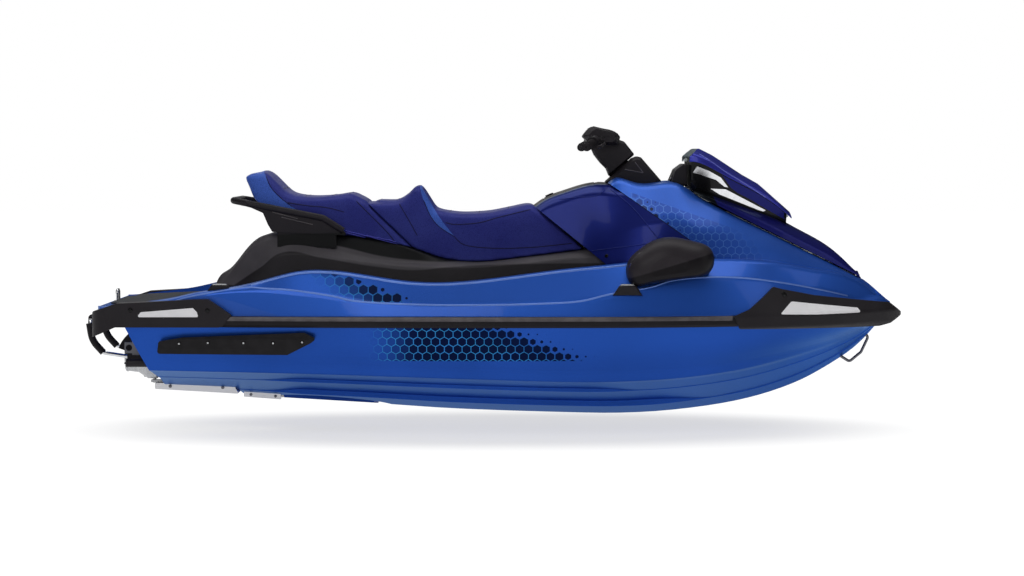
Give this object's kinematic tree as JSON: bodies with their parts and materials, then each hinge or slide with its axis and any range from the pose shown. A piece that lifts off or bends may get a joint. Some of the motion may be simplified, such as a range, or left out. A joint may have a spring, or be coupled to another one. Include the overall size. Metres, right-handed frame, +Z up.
{
  "type": "personal watercraft",
  "caption": "Sit-down personal watercraft with stepped V hull, padded seats, handlebar steering, jet pump with steering nozzle and reverse bucket, lifting hood and folding step.",
  "frame": {"origin": "on the still waterline, in the plane of symmetry, amidships", "axes": "+X to the bow, +Y to port, +Z up"},
  "size_m": [3.362, 1.2216, 1.192],
  "materials": {
    "hull_paint": "gloss metallic gel coat",
    "deck_paint": "gloss metallic gel coat",
    "dark_cover": "gloss",
    "black_plastic": "fine grain",
    "black_gloss": "gloss",
    "seat_fabric": "stitched vinyl",
    "mat_foam": "grooved foam",
    "rubber": "soft",
    "light_insert": "satin",
    "silver_trim": "polished",
    "cast_alloy": "cast",
    "stainless": "polished",
    "mirror": "mirror",
    "glass": "glossy screen",
    "engine_block": "plain block"
  },
  "bodies": {
    "craft": {"hull": "hull_paint", "deck": "deck_paint", "cowl": "deck_paint", "pedestal": "black_plastic", "side_covers": "dark_cover", "console_panel": "black_plastic", "steering_cover": "black_plastic", "display": "black_plastic", "screen": "glass", "seat_rear": "seat_fabric", "seat_front": "seat_fabric", "grab_handle": "black_plastic", "rub_rails": "rubber", "bow_bumper": "black_plastic", "stern_bumpers": "black_plastic", "bumper_inserts": "light_insert", "sponsons": "black_plastic", "mirror_pods": "black_plastic", "mirror_glasses": "mirror", "cleats": "black_plastic", "tow_eyes": "stainless", "tow_hook": "stainless", "drain_plugs": "black_plastic", "jet_pump": "cast_alloy", "ride_plate": "cast_alloy", "intake_grate": "cast_alloy", "engine": "engine_block", "step_brackets": "black_plastic", "deck_mats": "mat_foam"},
    "steering": {"column": "black_plastic", "bar_pad": "black_plastic", "handlebar": "stainless", "grips": "rubber", "switches": "black_plastic", "levers": "black_plastic"},
    "jet_nozzle": {"steering_nozzle": "cast_alloy"},
    "bucket": {"reverse_bucket": "cast_alloy"},
    "bow_lid": {"hood": "deck_paint", "visor_base": "black_gloss", "visor": "silver_trim"},
    "glovebox": {"glovebox_lid": "black_plastic"},
    "step": {"step_frame": "stainless", "step_tread": "rubber"},
    "rotor": {"impeller": "stainless", "drive_shaft": "stainless"}
  },
  "joints": [
    {"name": "steering_turn", "type": "hinge", "parent": "craft", "child": "steering", "pos_m": [0.515, 0, 0.766], "axis": [-0.6478, 0, 0.7618], "range_deg": [-22, 22]},
    {"name": "nozzle_yaw", "type": "hinge", "parent": "craft", "child": "jet_nozzle", "pos_m": [-1.415, 0, -0.016], "axis": [0, 0, 1], "range_deg": [-27, 27]},
    {"name": "bucket_drop", "type": "hinge", "parent": "craft", "child": "bucket", "pos_m": [-1.415, 0, -0.016], "axis": [0, -1, 0], "range_deg": [0, 62]},
    {"name": "hood_lift", "type": "hinge", "parent": "craft", "child": "bow_lid", "pos_m": [1.517, 0, 0.317], "axis": [0, 1, 0], "range_deg": [0, 60]},
    {"name": "glovebox_lift", "type": "hinge", "parent": "craft", "child": "glovebox", "pos_m": [0.422, 0, 0.709], "axis": [0, 1, 0], "range_deg": [0, 45]},
    {"name": "step_fold", "type": "hinge", "parent": "craft", "child": "step", "pos_m": [-1.486, 0, 0.002], "axis": [0, -1, 0], "range_deg": [0, 88], "stiffness_Nm_per_rad": 6, "springref_deg": -57.3},
    {"name": "impeller_spin", "type": "hinge", "parent": "craft", "child": "rotor", "pos_m": [-1.1, 0, -0.016], "axis": [1, 0, 0], "continuous": true}
  ],
  "couplings": [
    {"joint": "nozzle_yaw", "follows": "steering_turn", "ratio": -1.2}
  ]
}
